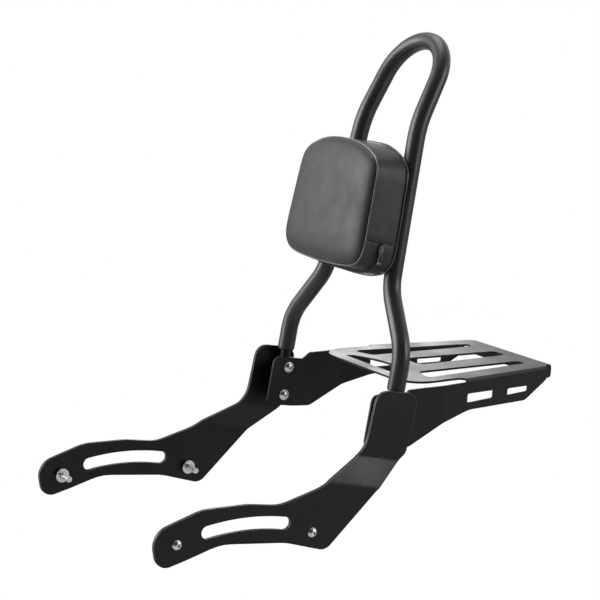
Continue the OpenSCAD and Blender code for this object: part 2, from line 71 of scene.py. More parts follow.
# The room is bright behind the part and dim behind the camera
ROOM_BEHIND = (0.95, 0.95, 0.95, 1)
ROOM_IN_FRONT = (0.04, 0.04, 0.04, 1)


def area_light(name, at, towards, size, power):
    data = bpy.data.lights.new(name, "AREA")
    data.shape = "RECTANGLE"
    data.size, data.size_y = size
    data.energy = power
    lamp = bpy.data.objects.new(name, data)
    lamp.location = at
    lamp.rotation_mode = "QUATERNION"
    lamp.rotation_quaternion = (Vector(towards) - Vector(at)).to_track_quat("-Z", "Y")
    lamp.visible_camera = False
    bpy.context.scene.collection.objects.link(lamp)


def light_studio():
    """A white room to the camera, shaded from behind to front for everything that reflects it."""
    world = bpy.data.worlds.new("studio")
    bpy.context.scene.world = world
    world.use_nodes = True
    tree = world.node_tree
    tree.nodes.clear()
    out = tree.nodes.new("ShaderNodeOutputWorld")
    seen = tree.nodes.new("ShaderNodeBackground")
    seen.inputs["Color"].default_value = (1, 1, 1, 1)
    lit = tree.nodes.new("ShaderNodeBackground")
    where = tree.nodes.new("ShaderNodeTexCoord")
    side = tree.nodes.new("ShaderNodeVectorMath")
    side.operation = "DOT_PRODUCT"
    side.inputs[1].default_value = CAMERA_BACK
    ramp = tree.nodes.new("ShaderNodeValToRGB")
    ramp.color_ramp.elements[0].position = 0.25
    ramp.color_ramp.elements[0].color = ROOM_BEHIND
    ramp.color_ramp.elements[1].position = 0.85
    ramp.color_ramp.elements[1].color = ROOM_IN_FRONT
    half = tree.nodes.new("ShaderNodeMath")
    half.operation = "MULTIPLY_ADD"
    half.inputs[1].default_value = 0.5
    half.inputs[2].default_value = 0.5
    rays = tree.nodes.new("ShaderNodeLightPath")
    pick = tree.nodes.new("ShaderNodeMixShader")
    links = tree.links
    links.new(where.outputs["Generated"], side.inputs[0])
    links.new(side.outputs["Value"], half.inputs[0])
    links.new(half.outputs[0], ramp.inputs[0])
    links.new(ramp.outputs["Color"], lit.inputs["Color"])
    links.new(rays.outputs["Is Camera Ray"], pick.inputs[0])
    links.new(lit.outputs[0], pick.inputs[1])
    links.new(seen.outputs[0], pick.inputs[2])
    links.new(pick.outputs[0], out.inputs["Surface"])
    for name, setting in SOFTBOXES.items():
        area_light(name, *setting)


FLOOR_HALF = 40
FLOOR_HEIGHT = -0.5


def lay_floor():
    """A matt floor that the camera sees as white."""
    mesh = bpy.data.meshes.new("floor")
    corners = [(x * FLOOR_HALF, y * FLOOR_HALF, FLOOR_HEIGHT)
               for x, y in ((-1, -1), (1, -1), (1, 1), (-1, 1))]
    mesh.from_pydata(corners, [], [(0, 1, 2, 3)])
    floor = bpy.data.objects.new("floor", mesh)
    bpy.context.scene.collection.objects.link(floor)
    pale = bpy.data.materials.new("pale_floor")
    pale.use_nodes = True
    tree = pale.node_tree
    shader = tree.nodes["Principled BSDF"]
    shader.inputs["Base Color"].default_value = (0.45, 0.45, 0.45, 1)
    shader.inputs["Roughness"].default_value = 0.9
    white = tree.nodes.new("ShaderNodeEmission")
    rays = tree.nodes.new("ShaderNodeLightPath")
    pick = tree.nodes.new("ShaderNodeMixShader")
    tree.links.new(rays.outputs["Is Camera Ray"], pick.inputs[0])
    tree.links.new(shader.outputs[0], pick.inputs[1])
    tree.links.new(white.outputs[0], pick.inputs[2])
    tree.links.new(pick.outputs[0], tree.nodes["Material Output"].inputs["Surface"])
    mesh.materials.append(pale)


place_camera()
light_studio()
lay_floor()
bpy.context.scene.view_settings.view_transform = "Standard"


# Finishes

def new_finish(name, color, roughness, metallic=0.0, coat=0.0, coat_roughness=0.1, specular=0.5):
    finish = bpy.data.materials.new(name)
    finish.use_nodes = True
    shader = finish.node_tree.nodes["Principled BSDF"]
    shader.inputs["Base Color"].default_value = (*color, 1)
    shader.inputs["Roughness"].default_value = roughness
    shader.inputs["Metallic"].default_value = metallic
    shader.inputs["Coat Weight"].default_value = coat
    shader.inputs["Coat Roughness"].default_value = coat_roughness
    shader.inputs["Specular IOR Level"].default_value = specular
    return finish, finish.node_tree, shader


def object_noise(tree, scale, detail=2.0, stretch=None):
    """Noise in the part's own metres; scale is in ripples per metre."""
    where = tree.nodes.new("ShaderNodeTexCoord")
    texture = tree.nodes.new("ShaderNodeTexNoise")
    texture.inputs["Scale"].default_value = scale
    texture.inputs["Detail"].default_value = detail
    if stretch:
        mapping = tree.nodes.new("ShaderNodeMapping")
        mapping.inputs["Scale"].default_value = stretch
        tree.links.new(where.outputs["Object"], mapping.inputs["Vector"])
        tree.links.new(mapping.outputs["Vector"], texture.inputs["Vector"])
    else:
        tree.links.new(where.outputs["Object"], texture.inputs["Vector"])
    return texture.outputs["Fac"]


def vary(tree, value, socket, low, high):
    """Lets a 0 to 1 value move a socket between low and high."""
    ranged = tree.nodes.new("ShaderNodeMapRange")
    for name, limit in (("From Min", 0.3), ("From Max", 0.7), ("To Min", low), ("To Max", high)):
        ranged.inputs[name].default_value = limit
    tree.links.new(value, ranged.inputs["Value"])
    tree.links.new(ranged.outputs["Result"], socket)


def vary_color(tree, value, socket, dark, light):
    """Lets a 0 to 1 value move a colour socket between dark and light."""
    ramp = tree.nodes.new("ShaderNodeValToRGB")
    ramp.color_ramp.elements[0].position = 0.3
    ramp.color_ramp.elements[1].position = 0.7
    ramp.color_ramp.elements[0].color = (*dark, 1)
    ramp.color_ramp.elements[1].color = (*light, 1)
    tree.links.new(value, ramp.inputs["Fac"])
    tree.links.new(ramp.outputs["Color"], socket)


def bump(tree, shader, value, depth, strength=1.0, under=None):
    """Relief of a depth in metres, laid over an earlier one where given."""
    node = tree.nodes.new("ShaderNodeBump")
    node.inputs["Strength"].default_value = strength
    node.inputs["Distance"].default_value = depth
    tree.links.new(value, node.inputs["Height"])
    if under:
        tree.links.new(under.outputs["Normal"], node.inputs["Normal"])
    tree.links.new(node.outputs["Normal"], shader.inputs["Normal"])
    return node


def powder_coat():
    finish, tree, shader = new_finish("satin_powder_coat", (0.009, 0.009, 0.0095), 0.42, specular=0.3)
    vary(tree, object_noise(tree, 16, 4), shader.inputs["Roughness"], 0.36, 0.48)
    vary_color(tree, object_noise(tree, 45, 3), shader.inputs["Base Color"],
               (0.0062, 0.0062, 0.0066), (0.0096, 0.0096, 0.01))
    waves = bump(tree, shader, object_noise(tree, 260, 1), 0.00012)
    bump(tree, shader, object_noise(tree, 1500, 2), 0.00003, under=waves)
    return finish


def edge_highlight_paint():
    """A lighter coat for the eased cut edges: a painted highlight standing for the light they catch."""
    finish, tree, shader = new_finish("painted_highlight_on_edges", (0.07, 0.07, 0.071), 0.32, specular=0.6)
    highlight_mottle = object_noise(tree, 70, 4)
    vary(tree, highlight_mottle, shader.inputs["Roughness"], 0.24, 0.4)
    # the lighter colour here is a painted highlight along the plates' edges
    vary_color(tree, highlight_mottle, shader.inputs["Base Color"], (0.07, 0.07, 0.071), (0.22, 0.22, 0.22))
    return finish


def gloss_tube_coat():
    finish, tree, shader = new_finish("gloss_black_tube", (0.022, 0.022, 0.0225), 0.4, coat=0.2,
                                      coat_roughness=0.16, specular=0.4)
    vary(tree, object_noise(tree, 22, 3), shader.inputs["Roughness"], 0.34, 0.46)
    bump(tree, shader, object_noise(tree, 190, 1), 0.00008)
    return finish


def bright_zinc():
    finish, tree, shader = new_finish("bright_zinc", (0.8, 0.8, 0.82), 0.2, metallic=1.0)
    vary(tree, object_noise(tree, 900, 3), shader.inputs["Roughness"], 0.14, 0.3)
    vary_color(tree, object_noise(tree, 300, 2), shader.inputs["Base Color"],
               (0.68, 0.68, 0.7), (0.86, 0.86, 0.87))
    bump(tree, shader, object_noise(tree, 2500, 1), 0.00001)
    return finish


def leatherette():
    finish, tree, shader = new_finish("black_leatherette", (0.029, 0.029, 0.03), 0.5, specular=0.35)
    vary(tree, object_noise(tree, 40, 3), shader.inputs["Roughness"], 0.44, 0.56)
    vary_color(tree, object_noise(tree, 55, 4), shader.inputs["Base Color"],
               (0.024, 0.024, 0.025), (0.033, 0.033, 0.034))
    where = tree.nodes.new("ShaderNodeTexCoord")
    grain = tree.nodes.new("ShaderNodeTexVoronoi")
    grain.feature = "SMOOTH_F1"
    grain.inputs["Scale"].default_value = 750
    tree.links.new(where.outputs["Object"], grain.inputs["Vector"])
    pebbles = bump(tree, shader, grain.outputs["Distance"], 0.00016, 0.55)
    bump(tree, shader, object_noise(tree, 420, 3), 0.00012, 0.5, under=pebbles)
    return finish


def piping_cover():
    finish, tree, shader = new_finish("piping_leatherette", (0.05, 0.05, 0.051), 0.3, coat=0.4,
                                      coat_roughness=0.15, specular=0.6)
    vary(tree, object_noise(tree, 120, 3), shader.inputs["Roughness"], 0.24, 0.38)
    bump(tree, shader, object_noise(tree, 900, 3), 0.00008, 0.6)
    return finish


def zipper_cloth():
    finish, tree, shader = new_finish("zipper_tape_and_seam_shade", (0.014, 0.014, 0.015), 0.8, specular=0.2)
    shader.inputs["Sheen Weight"].default_value = 0.2
    where = tree.nodes.new("ShaderNodeTexCoord")
    weave = tree.nodes.new("ShaderNodeTexWave")
    weave.inputs["Scale"].default_value = 700
    weave.inputs["Distortion"].default_value = 0.6
    tree.links.new(where.outputs["Object"], weave.inputs["Vector"])
    vary_color(tree, weave.outputs["Fac"], shader.inputs["Base Color"],
               (0.010, 0.010, 0.011), (0.022, 0.022, 0.023))
    bump(tree, shader, weave.outputs["Fac"], 0.00008)
    return finish


def black_nylon():
    finish, tree, shader = new_finish("black_nylon_teeth", (0.02, 0.02, 0.021), 0.35, specular=0.5)
    vary(tree, object_noise(tree, 700, 2), shader.inputs["Roughness"], 0.28, 0.42)
    return finish


def thread():
    finish, tree, shader = new_finish("black_thread", (0.03, 0.03, 0.031), 0.6, specular=0.3)
    bump(tree, shader, object_noise(tree, 3500, 2), 0.00004)
    return finish


def puller_enamel():
    finish, tree, shader = new_finish("worn_black_enamel", (0.15, 0.15, 0.155), 0.3, metallic=0.85,
                                      specular=0.6)
    vary(tree, object_noise(tree, 400, 4), shader.inputs["Roughness"], 0.22, 0.45)
    vary_color(tree, object_noise(tree, 260, 4), shader.inputs["Base Color"],
               (0.06, 0.06, 0.062), (0.32, 0.32, 0.33))
    return finish


def plywood():
    finish, tree, shader = new_finish("stained_plywood", (0.2, 0.14, 0.09), 0.65, specular=0.3)
    rings = object_noise(tree, 60, 4, stretch=(1.0, 1.0, 0.09))
    vary_color(tree, rings, shader.inputs["Base Color"], (0.17, 0.115, 0.07), (0.33, 0.24, 0.15))
    vary(tree, rings, shader.inputs["Roughness"], 0.55, 0.75)
    bump(tree, shader, rings, 0.0002, 0.5)
    return finish


def dull_weld():
    finish, tree, shader = new_finish("coated_weld", (0.008, 0.008, 0.0085), 0.4, specular=0.35)
    bump(tree, shader, object_noise(tree, 600, 2), 0.0001)
    return finish


POWDER = powder_coat()
# a lighter finish for the plates' eased edges: painted highlight
EDGE_PAINTED_HIGHLIGHT = edge_highlight_paint()
TUBE = gloss_tube_coat()
ZINC = bright_zinc()
HIDE = leatherette()
PIPING = piping_cover()
# dark woven zipper tape, also laid beside the cross seams as painted shade
TAPE_CLOTH_AND_SEAM_SHADE = zipper_cloth()
NYLON = black_nylon()
THREAD = thread()
ENAMEL = puller_enamel()
PLY = plywood()
WELD = dull_weld()


# Metal pieces

def link_piece(name, mesh):
    thing = bpy.data.objects.new(name, mesh)
    bpy.context.scene.collection.objects.link(thing)
    return thing


def filleted(points, radii, step=math.radians(4)):
    """The polyline with an arc of the given radius at each inner corner."""
    out = [points[0]]
    for before, corner, after, radius in zip(points, points[1:], points[2:], radii):
        u, v = (before - corner).normalized(), (after - corner).normalized()
        turn = math.pi - u.angle(v)
        reach = radius * math.tan(turn / 2)
        centre = corner + (u + v).normalized() * radius / math.cos(turn / 2)
        arm, ahead = corner + u * reach - centre, -u
        count = max(3, math.ceil(turn / step))
        out += [centre + arm * math.cos(turn * k / count) + ahead * radius * math.sin(turn * k / count)
                for k in range(count + 1)]
    return out + [points[-1]]


TAB_LEAN = math.radians(11.8)
TAB_UP = Vector((math.sin(TAB_LEAN), 0, math.cos(TAB_LEAN)))
TAB_ACROSS = Vector((math.cos(TAB_LEAN), 0, -math.sin(TAB_LEAN)))
# Corners of the tab's front and rear edges in x and z, from the top down, and the radii between them
TAB_FRONT_CORNERS = [(0.2085, 0.180), (0.191, 0.092), (0.127, 0.0623)]
TAB_FRONT_RADII = [0.040]
TAB_REAR_CORNERS = [(0.279, 0.1755), (0.2585, 0.082), (0.203, 0.0395), (0.188, 0.0265)]
TAB_REAR_RADII = [0.015, 0.060]
# Heights up the tab's lean, in metres: the cuts that let its edges bend, where the front and rear edges
# start to move, how far the rear one takes to move fully, and where the round top begins
TAB_CUTS = (0.080, 0.088, 0.092, 0.097, 0.102, 0.106, 0.125, 0.132, 0.138, 0.145, 0.155, 0.165, 0.175,
            0.186)
TAB_FRONT_FROM = 0.0875
TAB_REAR_FROM = 0.066
TAB_REAR_BLEND = 0.016
TAB_TOP_FROM = 0.190
TAB_TOP_BLEND = 0.012
# Places across the tab: where its round top begins, how wide that is, and the line between both edges
TAB_FRONT_AT = 0.163
TAB_WIDTH = 0.072
TAB_MIDDLE = 0.185
# How far the round top moves up, and how far rearwards at its front and at its rear
TAB_LIFT = 0.0018
TAB_SHIFT_FRONT, TAB_SHIFT_REAR = 0.0044, 0.0022


def tab_edge(corners, radii):
    """An edge of the tab as (height up the tab, place across it) from the top down."""
    line = filleted([Vector((x, 0, z)) for x, z in corners], radii)
    return [(p.dot(TAB_UP), p.dot(TAB_ACROSS)) for p in line]


TAB_FRONT = tab_edge(TAB_FRONT_CORNERS, TAB_FRONT_RADII)
TAB_REAR = tab_edge(TAB_REAR_CORNERS, TAB_REAR_RADII)


def edge_at(edge, height):
    """How far across the tab an edge lies at a height up the tab."""
    for (h0, a0), (h1, a1) in zip(edge, edge[1:]):
        if h1 <= height <= h0:
            return a1 + (a0 - a1) * (height - h1) / (h0 - h1)
    return None


def trim_tab(work):
    """Draws the tab's edges along their photographed lines, sliding them in the plane of the sheet."""
    for height in TAB_CUTS:
        geometry = work.verts[:] + work.edges[:] + work.faces[:]
        bmesh.ops.bisect_plane(work, geom=geometry, plane_co=TAB_UP * height, plane_no=TAB_UP, dist=1e-6)
    for v in work.verts:
        height, across = v.co.dot(TAB_UP), v.co.dot(TAB_ACROSS)
        if height < TAB_REAR_FROM:
            continue
        front, rear = edge_at(TAB_FRONT, height), edge_at(TAB_REAR, height)
        if height > TAB_TOP_FROM:
            share = (across - TAB_FRONT_AT) / TAB_WIDTH
            v.co += TAB_ACROSS * (TAB_SHIFT_FRONT - (TAB_SHIFT_FRONT - TAB_SHIFT_REAR) * share)
            v.co += TAB_UP * TAB_LIFT * min(1, (height - TAB_TOP_FROM) / TAB_TOP_BLEND)
        elif across > TAB_MIDDLE:
            v.co += TAB_ACROSS * (rear - across) * min(1, (height - TAB_REAR_FROM) / TAB_REAR_BLEND)
        elif front is not None and height > TAB_FRONT_FROM:
            v.co += TAB_ACROSS * (front - across)


SHARP_FROM = math.radians(30)


def finished_copy(node, piece, finish, edge, shape=None, highlight_finish=None):
    """A merged copy of a metal node with its edges eased, in place of the plain one."""
    mesh = NODES[node].data.copy()
    work = bmesh.new()
    work.from_mesh(mesh)
    bmesh.ops.remove_doubles(work, verts=work.verts, dist=2e-6)
    bmesh.ops.dissolve_limit(work, angle_limit=math.radians(0.5), verts=work.verts, edges=work.edges)
    if shape:
        shape(work)
    work.to_mesh(mesh)
    work.free()
    mesh.materials.clear()
    mesh.materials.append(finish)
    if highlight_finish:
        mesh.materials.append(highlight_finish)
    for face in mesh.polygons:
        face.use_smooth = True
        face.material_index = 0
    mesh.set_sharp_from_angle(angle=SHARP_FROM)
    thing = link_piece(piece, mesh)
    eased = thing.modifiers.new("eased_edges", "BEVEL")
    eased.width = edge
    eased.segments = 2
    eased.limit_method = "ANGLE"
    eased.angle_limit = SHARP_FROM
    eased.use_clamp_overlap = True
    eased.harden_normals = True
    # where given, the eased edge faces take the second finish, a painted highlight
    if highlight_finish:
        eased.material = 1
    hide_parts(node)
    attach(thing, "root")


# How far the edges of each kind of piece are eased
PLATE_EDGE, RACK_EDGE, FOOT_EDGE, BAR_EDGE, FASTENER_EDGE = 0.0008, 0.0007, 0.0005, 0.0004, 0.00025

for side in ("left", "right"):
    finished_copy(f"{side}_side_plate", f"{side}_plate_powder_coated", POWDER, PLATE_EDGE,
                  shape=trim_tab, highlight_finish=EDGE_PAINTED_HIGHLIGHT)
    finished_copy(f"{side}_tube_foot", f"{side}_foot_powder_coated", POWDER, FOOT_EDGE)
finished_copy("luggage_rack", "rack_powder_coated", POWDER, RACK_EDGE)
for level in ("upper", "lower"):
    finished_copy(f"{level}_pad_bar", f"{level}_bar_coated", TUBE, BAR_EDGE)
FASTENERS = [n for n in NODES if n.endswith(("_bolt", "_screw", "_washer", "_spacer"))]
for node in FASTENERS:
    finished_copy(node, node + "_plated", ZINC, FASTENER_EDGE)
NODES["pad_backboard"].data.materials.clear()
NODES["pad_backboard"].data.materials.append(PLY)


# Rows of blocks, thread and welds

def new_tree(name, sizes, takes="Line", gives="Row"):
    """An empty tree that takes geometry, sizes and a finish, with its input and output nodes."""
    tree = bpy.data.node_groups.new(name, "GeometryNodeTree")
    tree.interface.new_socket(takes, in_out="INPUT", socket_type="NodeSocketGeometry")
    for size in sizes:
        kind = "NodeSocketInt" if size == "Sides" else "NodeSocketFloat"
        tree.interface.new_socket(size, in_out="INPUT", socket_type=kind)
    tree.interface.new_socket("Finish", in_out="INPUT", socket_type="NodeSocketMaterial")
    tree.interface.new_socket(gives, in_out="OUTPUT", socket_type="NodeSocketGeometry")
    return tree, tree.nodes.new("NodeGroupInput"), tree.nodes.new("NodeGroupOutput")


def facing(tree, along, up):
    """A rotation whose local X runs along one vector and whose local Z leans to the other."""
    first = tree.nodes.new("FunctionNodeAlignRotationToVector")
    first.axis = "X"
    second = tree.nodes.new("FunctionNodeAlignRotationToVector")
    second.axis = "Z"
    second.pivot_axis = "X"
    tree.links.new(along, first.inputs["Vector"])
    tree.links.new(first.outputs[0], second.inputs["Rotation"])
    tree.links.new(up, second.inputs["Vector"])
    return second.outputs[0]


def outward_attribute(tree):
    """The direction away from the part that each point of a line carries."""
    held = tree.nodes.new("GeometryNodeInputNamedAttribute")
    held.data_type = "FLOAT_VECTOR"
    held.inputs["Name"].default_value = "outward"
    return held.outputs["Attribute"]


def close_tree(tree, shape, given, out):
    """Makes the shape real and smooth and gives it the finish."""
    real = tree.nodes.new("GeometryNodeRealizeInstances")
    smooth = tree.nodes.new("GeometryNodeSetShadeSmooth")
    finish = tree.nodes.new("GeometryNodeSetMaterial")
    tree.links.new(shape, real.inputs[0])
    tree.links.new(real.outputs[0], smooth.inputs[0])
    tree.links.new(smooth.outputs[0], finish.inputs["Geometry"])
    tree.links.new(given.outputs["Finish"], finish.inputs["Material"])
    tree.links.new(finish.outputs[0], out.inputs[0])


def block_row_tree():
    """Rounded blocks at even spacing along a line: zipper teeth, stitches and weld ripples."""
    tree, given, out = new_tree("blocks_in_a_row", ("Spacing", "Length", "Width", "Height"))
    curve = tree.nodes.new("GeometryNodeMeshToCurve")
    spaced = tree.nodes.new("GeometryNodeResampleCurve")
    spaced.mode = "LENGTH"
    size = tree.nodes.new("ShaderNodeCombineXYZ")
    block = tree.nodes.new("GeometryNodeMeshCube")
    soft = tree.nodes.new("GeometryNodeSubdivisionSurface")
    soft.inputs["Level"].default_value = 1
    placed = tree.nodes.new("GeometryNodeInstanceOnPoints")
    tangent = tree.nodes.new("GeometryNodeInputTangent")
    link = tree.links.new
    link(given.outputs["Line"], curve.inputs[0])
    link(curve.outputs[0], spaced.inputs["Curve"])
    link(given.outputs["Spacing"], spaced.inputs["Length"])
    for axis, name in zip("XYZ", ("Length", "Width", "Height")):
        link(given.outputs[name], size.inputs[axis])
    link(size.outputs[0], block.inputs["Size"])
    link(block.outputs["Mesh"], soft.inputs["Mesh"])
    link(spaced.outputs[0], placed.inputs["Points"])
    link(soft.outputs[0], placed.inputs["Instance"])
    link(facing(tree, tangent.outputs[0], outward_attribute(tree)), placed.inputs["Rotation"])
    close_tree(tree, placed.outputs[0], given, out)
    return tree


def screw_thread_tree():
    """One helical ridge on each point, its axis along the point's outward vector."""
    tree, given, out = new_tree("screw_threads", ("Radius", "Pitch", "Length", "Ridge"),
                                "Points", "Threads")
    spiral = tree.nodes.new("GeometryNodeCurveSpiral")
    spiral.inputs["Resolution"].default_value = 20
    turns = tree.nodes.new("ShaderNodeMath")
    turns.operation = "DIVIDE"
    ridge = tree.nodes.new("GeometryNodeCurvePrimitiveCircle")
    ridge.inputs["Resolution"].default_value = 4
    swept = tree.nodes.new("GeometryNodeCurveToMesh")
    swept.inputs["Fill Caps"].default_value = True
    placed = tree.nodes.new("GeometryNodeInstanceOnPoints")
    turned = tree.nodes.new("FunctionNodeAlignRotationToVector")
    turned.axis = "Z"
    link = tree.links.new
    link(given.outputs["Length"], turns.inputs[0])
    link(given.outputs["Pitch"], turns.inputs[1])
    link(turns.outputs[0], spiral.inputs["Rotations"])
    link(given.outputs["Radius"], spiral.inputs["Start Radius"])
    link(given.outputs["Radius"], spiral.inputs["End Radius"])
    link(given.outputs["Length"], spiral.inputs["Height"])
    link(given.outputs["Ridge"], ridge.inputs["Radius"])
    link(spiral.outputs[0], swept.inputs["Curve"])
    link(ridge.outputs[0], swept.inputs["Profile Curve"])
    link(given.outputs["Points"], placed.inputs["Points"])
    link(swept.outputs[0], placed.inputs["Instance"])
    link(outward_attribute(tree), turned.inputs["Vector"])
    link(turned.outputs[0], placed.inputs["Rotation"])
    close_tree(tree, placed.outputs[0], given, out)
    return tree


def bent_tube_tree():
    """A round tube swept along a line; its wall is closed at both ends."""
    tree, given, out = new_tree("bent_tube", ("Radius", "Sides"))
    curve = tree.nodes.new("GeometryNodeMeshToCurve")
    ring = tree.nodes.new("GeometryNodeCurvePrimitiveCircle")
    swept = tree.nodes.new("GeometryNodeCurveToMesh")
    swept.inputs["Fill Caps"].default_value = True
    link = tree.links.new
    link(given.outputs["Line"], curve.inputs[0])
    link(given.outputs["Radius"], ring.inputs["Radius"])
    link(given.outputs["Sides"], ring.inputs["Resolution"])
    link(curve.outputs[0], swept.inputs["Curve"])
    link(ring.outputs[0], swept.inputs["Profile Curve"])
    close_tree(tree, swept.outputs[0], given, out)
    return tree


ROW_TREE = block_row_tree()
TUBE_TREE = bent_tube_tree()
THREAD_TREE = screw_thread_tree()


def line_mesh(name, runs):
    """Open lines of (place, outward) pairs, for the rows to follow."""
    verts, edges, outs = [], [], []
    for run in runs:
        start = len(verts)
        verts += [tuple(p) for p, _ in run]
        outs += [c for _, n in run for c in n]
        edges += [(start + i, start + i + 1) for i in range(len(run) - 1)]
    mesh = bpy.data.meshes.new(name)
    mesh.from_pydata(verts, edges, [])
    mesh.attributes.new("outward", "FLOAT_VECTOR", "POINT").data.foreach_set("vector", outs)
    return mesh


def grown(name, mesh, tree, finish, sizes, stands_for=()):
    """Runs a tree over the lines and keeps the plain mesh."""
    thing = link_piece(name, mesh)
    ids = {i.name: i.identifier for i in tree.interface.items_tree if i.in_out == "INPUT"}
    made = thing.modifiers.new(name, "NODES")
    made.node_group = tree
    for size, value in sizes.items():
        made[ids[size]] = value
    made[ids["Finish"]] = finish
    plain = bpy.data.meshes.new_from_object(thing.evaluated_get(bpy.context.evaluated_depsgraph_get()))
    thing.modifiers.clear()
    thing.data = plain
    if stands_for:
        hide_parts(*stands_for)
    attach(thing, "root")


# Hoop

LEG_END = Vector((0.24815, 0.141, 0.16799))
LEG_TURN = Vector((0.25594, 0.141, 0.2195))
SHOULDER_AT = Vector((0.2729, 0.08175, 0.2956))
BOW_TURN = Vector((0.31497, 0.06603, 0.5204))
BOW_START = Vector((0.34610, 0.06125, 0.58123))
BOW_LEAN = math.radians(27.1)
CONVERGE = math.radians(4)
TUBE_RADIUS = 0.0125
BEND_RADII = [0.07, 0.07, 0.15]
BOW_STEPS = 45


def hoop_line():
    """The tube's centre line, up the left leg, round the bow and down the right one."""
    leg = filleted([LEG_END, LEG_TURN, SHOULDER_AT, BOW_TURN, BOW_START], BEND_RADII)
    up = Vector((math.sin(BOW_LEAN), 0, math.cos(BOW_LEAN)))
    radius = BOW_START.y / math.cos(CONVERGE)
    centre = BOW_START - radius * (math.sin(CONVERGE) * up + Vector((0, math.cos(CONVERGE), 0)))
    sweep = math.pi - 2 * CONVERGE
    bow = []
    for k in range(1, BOW_STEPS):
        a = CONVERGE + sweep * k / BOW_STEPS
        bow.append(centre + radius * (math.cos(a) * Vector((0, 1, 0)) + math.sin(a) * up))
    other = [Vector((p.x, -p.y, p.z)) for p in reversed(leg)]
    return [(p, Vector((1, 0, 0))) for p in leg + bow + other]


grown("hoop_gloss_coated", line_mesh("hoop_gloss_coated", [hoop_line()]), TUBE_TREE, TUBE,
      {"Radius": TUBE_RADIUS, "Sides": 40}, ("sissy_bar_hoop",))

# Threads on the free ends of the fender bolts
THREAD_FROM_Y = 0.1602
BOLT_X, BOLT_DROP = 0.10186, 0.005338
stud_ends = []
for side in (-1, 1):
    for end in (-1, 1):
        start = Vector((BOLT_X * end, side * THREAD_FROM_Y, -BOLT_DROP * end))
        stud_ends.append([(start, Vector((0, -side, 0)))])
grown("stud_threads", line_mesh("stud_threads", stud_ends), THREAD_TREE, ZINC,
      {"Radius": 0.0039, "Pitch": 0.00125, "Length": 0.0190, "Ridge": 0.0004})

# Backrest pad

SHOULDER = Vector((0.2729, 0, 0.2956))
LEG_LEAN = math.radians(10.6)
SEAM_FRONT = -0.0695
SEAM_BACK = -0.0145
# Outlines of the two seams from the top centre to the bottom centre: y and z in millimetres
PAD_FRONT_HALF = [(0, 191), (28, 189.6), (52, 185), (70, 178), (83.5, 170), (90.5, 158), (93, 136),
                  (95.4, 92), (97, 60), (95.5, 43), (90, 32), (79, 24.5), (60, 20.5), (30, 18.5), (0, 18)]
PAD_BACK_HALF = [(0, 194), (26, 193), (50, 187), (68, 179), (80, 168), (86, 154), (89, 122), (92, 85),
                 (93.5, 55), (92, 38), (85, 25), (74, 18), (50, 12), (26, 10), (0, 9.5)]
# Points on every ring, and the pad's middle in the legs' frame
ROUND = 144
PAD_MIDDLE = Vector((-0.04, 0, 0.104))


def pad_place(x, y, z):
    """A place in the leaning frame of the upper legs, in the part's frame."""
    c, s = math.cos(LEG_LEAN), math.sin(LEG_LEAN)
    return SHOULDER + Vector((x * c + z * s, y, -x * s + z * c))


PAD_X = (pad_place(1, 0, 0) - pad_place(0, 0, 0)).normalized()
PAD_CENTRE = pad_place(*PAD_MIDDLE)


def closed_curve(points, count):
    """Evenly spaced points on a smooth closed curve through the given ones."""
    n = len(points)
    fine = []
    for i in range(n):
        p0, p1, p2, p3 = (points[(i + k - 1) % n] for k in range(4))
        for k in range(16):
            t = k / 16
            fine.append(0.5 * ((2 * p1) + (p2 - p0) * t + (2 * p0 - 5 * p1 + 4 * p2 - p3) * t * t
                               + (3 * p1 - p0 - 3 * p2 + p3) * t ** 3))
    lengths = [0.0]
    for a, b in zip(fine, fine[1:] + fine[:1]):
        lengths.append(lengths[-1] + (b - a).length)
    out, at = [], 0
    for k in range(count):
        want = lengths[-1] * k / count
        while lengths[at + 1] < want:
            at += 1
        share = (want - lengths[at]) / max(lengths[at + 1] - lengths[at], 1e-12)
        out.append(fine[at].lerp(fine[(at + 1) % len(fine)], share))
    return out


def pad_ring(half, x):
    """The pad's outline at local x: (y, z) points from the top centre down the right side and round."""
    other = [(-y, z) for y, z in half[-2:0:-1]]
    full = [Vector((y * MM, z * MM)) for y, z in half + other]
    return [Vector((x, p.x, p.y)) for p in closed_curve(full, ROUND)]


def between(a, b, t):
    """The ring that lies a share of the way from one ring to another."""
    return [p.lerp(q, t) for p, q in zip(a, b)]


def shrunk(ring, d, x):
    """The ring moved inwards by about d and to local x."""
    n = len(ring)
    out = []
    for i, p in enumerate(ring):
        along = ring[(i + 2) % n] - ring[i - 2]
        inward = Vector((0, -along.z, along.y)).normalized()
        if inward.dot(PAD_MIDDLE - p) < 0:
            inward.negate()
        q = p + inward * d
        out.append(Vector((x, q.y, q.z)))
    return out


def towards_middle(ring, share, x):
    """The ring drawn to a share of its size about the pad's middle, at local x."""
    middle = PAD_MIDDLE
    return [Vector((x, p.y * share, middle.z + (p.z - middle.z) * share)) for p in ring]


FRONT_SEAM = pad_ring(PAD_FRONT_HALF, SEAM_FRONT)
BACK_SEAM = pad_ring(PAD_BACK_HALF, SEAM_BACK)


def cover_mesh(name, rings):
    """A closed skin over the rings, with a fan of faces at its front and back."""
    verts = [pad_place(*p) for ring in rings for p in ring]
    front, back = len(verts), len(verts) + 1
    verts += [pad_place(*(sum(ring, Vector()) / ROUND)) for ring in (rings[0], rings[-1])]
    last = (len(rings) - 1) * ROUND
    faces = []
    for low in range(0, last, ROUND):
        for i in range(ROUND):
            j = (i + 1) % ROUND
            faces.append((low + i, low + j, low + ROUND + j, low + ROUND + i))
    faces += [(front, (i + 1) % ROUND, i) for i in range(ROUND)]
    faces += [(back, last + i, last + (i + 1) % ROUND) for i in range(ROUND)]
    mesh = bpy.data.meshes.new(name)
    mesh.from_pydata([tuple(v) for v in verts], [], faces)
    thing = link_piece(name, mesh)
    outward_normals(thing)
    return thing


